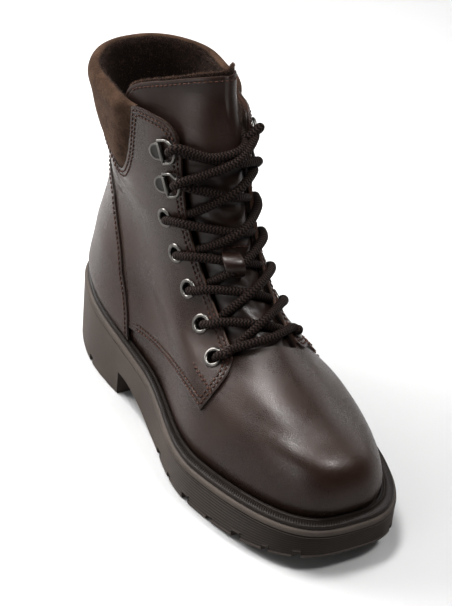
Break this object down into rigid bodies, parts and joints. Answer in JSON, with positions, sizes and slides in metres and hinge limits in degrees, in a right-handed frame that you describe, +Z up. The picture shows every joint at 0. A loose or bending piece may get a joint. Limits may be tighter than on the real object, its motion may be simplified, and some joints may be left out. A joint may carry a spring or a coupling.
{
  "type": "leather boot",
  "caption": "Right lace-up ankle boot: grained leather upper with quarters and heel counter, padded suede collar, laced throat with D-rings, on a chunky lugged sole with a block heel.",
  "frame": {"origin": "on the floor under the middle of the boot's box", "axes": "+X from heel to toe, +Y to the inner side of the foot, +Z up"},
  "size_m": [0.2882, 0.1156, 0.2156],
  "materials": {
    "upper_leather": "fine-grained, softly polished dark brown",
    "collar_suede": "napped suede, mid brown",
    "insole_lining": "dark brown fleece",
    "sole_rubber": "matte moulded, dark grey-brown",
    "welt_rubber": "knurled, matte",
    "hardware": "gunmetal, softly polished",
    "lace_cord": "round braided cord, dark brown"
  },
  "bodies": {
    "root": {"outsole": "sole_rubber", "welt": "welt_rubber", "insole": "insole_lining", "upper": "upper_leather", "quarter_outer": "upper_leather", "quarter_inner": "upper_leather", "heel_counter": "upper_leather", "collar": "collar_suede", "tongue": "upper_leather", "tongue_loop": "upper_leather", "eyelet_outer_1": "hardware", "eyelet_outer_2": "hardware", "eyelet_outer_3": "hardware", "eyelet_outer_4": "hardware", "eyelet_outer_5": "hardware", "eyelet_inner_1": "hardware", "eyelet_inner_2": "hardware", "eyelet_inner_3": "hardware", "eyelet_inner_4": "hardware", "eyelet_inner_5": "hardware", "ring_plate_outer_1": "hardware", "ring_plate_outer_2": "hardware", "ring_plate_inner_1": "hardware", "ring_plate_inner_2": "hardware", "d_ring_outer_1": "hardware", "d_ring_outer_2": "hardware", "d_ring_inner_1": "hardware", "d_ring_inner_2": "hardware", "lace_bar": "lace_cord", "lace_cross_1": "lace_cord", "lace_cross_2": "lace_cord", "lace_cross_3": "lace_cord", "lace_cross_4": "lace_cord", "lace_cross_5": "lace_cord", "lace_cross_6": "lace_cord", "lace_top": "lace_cord"}
  },
  "joints": []
}
